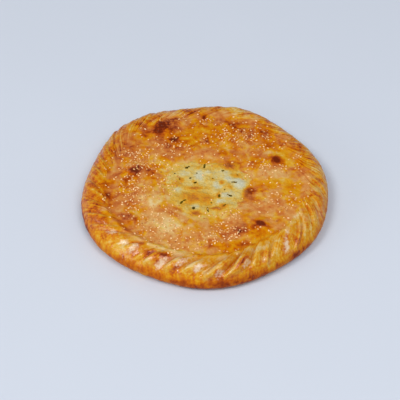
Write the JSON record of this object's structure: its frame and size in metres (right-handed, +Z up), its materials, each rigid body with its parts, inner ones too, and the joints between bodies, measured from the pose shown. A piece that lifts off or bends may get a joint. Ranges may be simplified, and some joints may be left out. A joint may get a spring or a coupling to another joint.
{
  "type": "stuffed flatbread",
  "caption": "Round flat filled bread with a pleated rope rim, a glazed golden crust, sesame seeds and a ragged central vent that shows a cheese and herb filling.",
  "frame": {"origin": "middle of the bread's outline on the surface it lies on", "axes": "+Z up through the top crust; -Y towards the side whose pleats are deepest"},
  "size_m": [0.2975, 0.303, 0.0334],
  "materials": {
    "baked_dough": "baked golden dough with a thin egg glaze, browned blisters and fused sesame seeds",
    "cheese": "soft melted cheese with small browned spots and chopped herb flecks"
  },
  "bodies": {
    "root": {"dough_case": "baked_dough", "cheese_filling": "cheese"}
  },
  "joints": []
}
